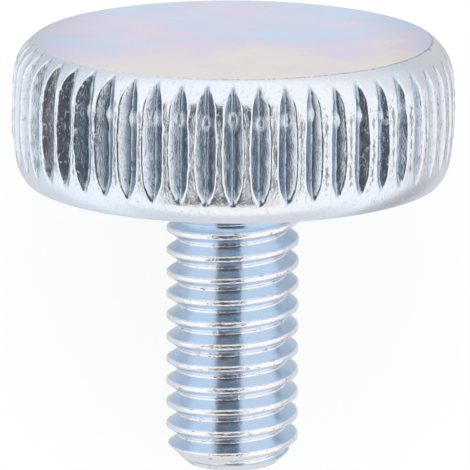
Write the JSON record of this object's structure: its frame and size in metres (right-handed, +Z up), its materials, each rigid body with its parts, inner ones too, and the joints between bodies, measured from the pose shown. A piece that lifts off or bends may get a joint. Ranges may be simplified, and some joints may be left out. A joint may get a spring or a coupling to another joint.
{
  "type": "knurled thumb screw",
  "caption": "Knurled thumb screw with a round flat-topped head, straight-grooved rim, plain neck and right-hand machine thread with a bevelled tip.",
  "frame": {"origin": "on the table, in the middle of the lying screw's footprint box", "axes": "+Z up from the table; the screw's axis lies in the YZ plane, with the tip towards -Y and the head towards +Y, raised by about 28 degrees; +X across the head"},
  "size_m": [0.0196, 0.022, 0.0191],
  "materials": {
    "zinc_plate": "bright blue-passivated zinc on turned and rolled steel, satin on the flat top, brighter on the knurl and the thread"
  },
  "bodies": {
    "root": {"thumb_screw": "zinc_plate"}
  },
  "joints": []
}
